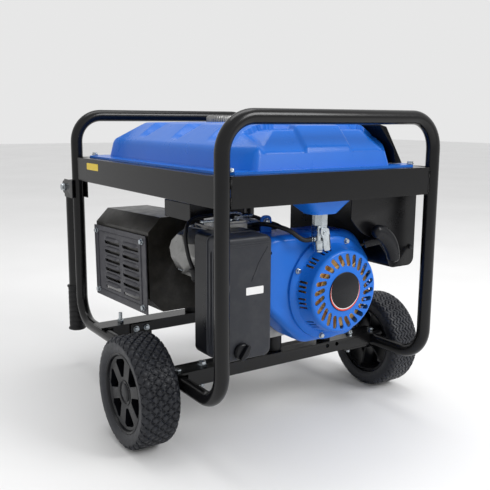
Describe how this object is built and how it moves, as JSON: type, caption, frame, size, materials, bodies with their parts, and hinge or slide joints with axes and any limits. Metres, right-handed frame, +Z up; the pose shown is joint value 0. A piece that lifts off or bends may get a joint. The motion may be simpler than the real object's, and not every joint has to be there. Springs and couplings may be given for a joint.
{
  "type": "portable generator",
  "caption": "Open-frame petrol generator: tube frame, two wheels, pressed tank, recoil-start engine, muffler with guard and fold-down handles.",
  "frame": {"origin": "on the ground, under the middle of the whole object's box", "axes": "+X to the right as seen from the recoil starter, +Y from the recoil starter to the alternator, +Z up"},
  "size_m": [0.653, 0.6826, 0.5997],
  "materials": {
    "black_frame": "semi-gloss black powder coat",
    "blue_paint": "gloss mid-blue enamel on pressed steel",
    "zinc": "bright zinc-plated fasteners",
    "cast_alloy": "as-cast aluminium",
    "dark_steel": "heat-proof charcoal paint",
    "engine_black": "satin black",
    "dark_plastic": "fine-grained dark grey plastic",
    "black_plastic": "satin black moulded plastic",
    "tyre": "matte tread rubber",
    "rubber": "plain black rubber",
    "steel": "machined steel",
    "tan_fan": "tan moulded fan",
    "badge": "blank printed badge",
    "foam": "oiled foam"
  },
  "bodies": {
    "chassis": {"front_hoop": "black_frame", "rear_hoop": "black_frame", "front_beam": "black_frame", "rear_beam": "black_frame", "axle_brackets": "black_frame", "axle": "steel", "support_legs": "black_frame", "support_feet": "rubber", "handle_brackets": "black_frame", "front_rail": "black_frame", "rear_rail": "black_frame", "left_rail": "black_frame", "right_rail": "black_frame", "tank_upper": "blue_paint", "tank_lower": "blue_paint", "fuel_cock": "zinc", "fuel_hose": "rubber", "crankcase": "cast_alloy", "cylinder_head": "cast_alloy", "valve_cover": "cast_alloy", "spark_plug": "rubber", "ignition_lead": "rubber", "head_shield": "engine_black", "carburettor": "cast_alloy", "air_filter_base": "dark_plastic", "air_filter_cover": "dark_plastic", "filter_element": "foam", "blower_housing": "blue_paint", "recoil_cover": "blue_paint", "recoil_badge": "badge", "alternator_housing": "cast_alloy", "alternator_end_cover": "cast_alloy", "engine_mounts": "rubber", "muffler": "dark_steel", "muffler_guard": "dark_steel", "control_box": "black_plastic", "control_panel": "black_plastic", "outlets": "black_plastic", "panel_hood": "black_plastic", "frame_bolts": "zinc"},
    "crank": {"crankshaft": "steel", "flywheel": "tan_fan", "rotor": "steel"},
    "piston_body": {"piston": "cast_alloy"},
    "reel": {"recoil_reel": "black_plastic"},
    "starter_handle": {"pull_handle": "black_plastic"},
    "wheel_left": {"wheel_rim_left": "black_plastic", "tyre_left": "tyre"},
    "wheel_right": {"wheel_rim_right": "black_plastic", "tyre_right": "tyre"},
    "handle_left_body": {"handle_left": "black_frame", "grip_left": "rubber"},
    "handle_right_body": {"handle_right": "black_frame", "grip_right": "rubber"},
    "fuel_cap_body": {"fuel_cap": "zinc"},
    "cock_lever_body": {"cock_lever": "zinc"},
    "choke_body": {"choke_lever": "black_plastic"},
    "switch_body": {"engine_switch": "black_plastic"},
    "breaker_body": {"breaker_button": "black_plastic"},
    "knob_body": {"filter_knob": "dark_plastic"}
  },
  "joints": [
    {"name": "crank_spin", "type": "hinge", "parent": "chassis", "child": "crank", "pos_m": [0.0465, 0.07135, 0.274], "axis": [0, 1, 0], "continuous": true},
    {"name": "piston_travel", "type": "slide", "parent": "chassis", "child": "piston_body", "axis": [0.9511, 0, -0.309], "range_m": [0, 0.054]},
    {"name": "starter_pull", "type": "slide", "parent": "chassis", "child": "starter_handle", "axis": [0.55, -0.8, 0.24], "range_m": [0, 0.6]},
    {"name": "reel_spin", "type": "hinge", "parent": "chassis", "child": "reel", "pos_m": [0.0465, -0.28565, 0.274], "axis": [0, 1, 0], "range_deg": [0, 960]},
    {"name": "wheel_left_spin", "type": "hinge", "parent": "chassis", "child": "wheel_left", "pos_m": [-0.2895, -0.13565, 0.1016], "axis": [1, 0, 0], "continuous": true},
    {"name": "wheel_right_spin", "type": "hinge", "parent": "chassis", "child": "wheel_right", "pos_m": [0.2895, -0.13565, 0.1016], "axis": [1, 0, 0], "continuous": true},
    {"name": "handle_left_fold", "type": "hinge", "parent": "chassis", "child": "handle_left_body", "pos_m": [-0.2325, 0.32135, 0.427], "axis": [1, 0, 0], "range_deg": [0, 90]},
    {"name": "handle_right_fold", "type": "hinge", "parent": "chassis", "child": "handle_right_body", "pos_m": [0.2325, 0.32135, 0.427], "axis": [1, 0, 0], "range_deg": [0, 90]},
    {"name": "fuel_cap_turn", "type": "hinge", "parent": "chassis", "child": "fuel_cap_body", "pos_m": [0, 0.05435, 0.58], "axis": [0, 0, 1], "range_deg": [0, 90]},
    {"name": "cock_lever_turn", "type": "hinge", "parent": "chassis", "child": "cock_lever_body", "pos_m": [0, -0.29465, 0.385], "axis": [0, -1, 0], "range_deg": [0, 90]},
    {"name": "choke_turn", "type": "hinge", "parent": "chassis", "child": "choke_body", "pos_m": [-0.1325, -0.19365, 0.4], "axis": [0, 0, 1], "range_deg": [0, 50]},
    {"name": "switch_turn", "type": "hinge", "parent": "chassis", "child": "switch_body", "pos_m": [0.238, -0.24865, 0.4], "axis": [1, 0, 0], "range_deg": [0, 60]},
    {"name": "breaker_push", "type": "slide", "parent": "chassis", "child": "breaker_body", "axis": [-1, 0, 0], "range_m": [0, 0.003], "stiffness_N_per_m": 400},
    {"name": "knob_turn", "type": "hinge", "parent": "chassis", "child": "knob_body", "pos_m": [-0.172, -0.28865, 0.198], "axis": [0, 1, 0], "range_deg": [0, 360]}
  ],
  "couplings": [
    {"joint": "reel_spin", "follows": "starter_pull", "rad_per_m": 27.778}
  ]
}
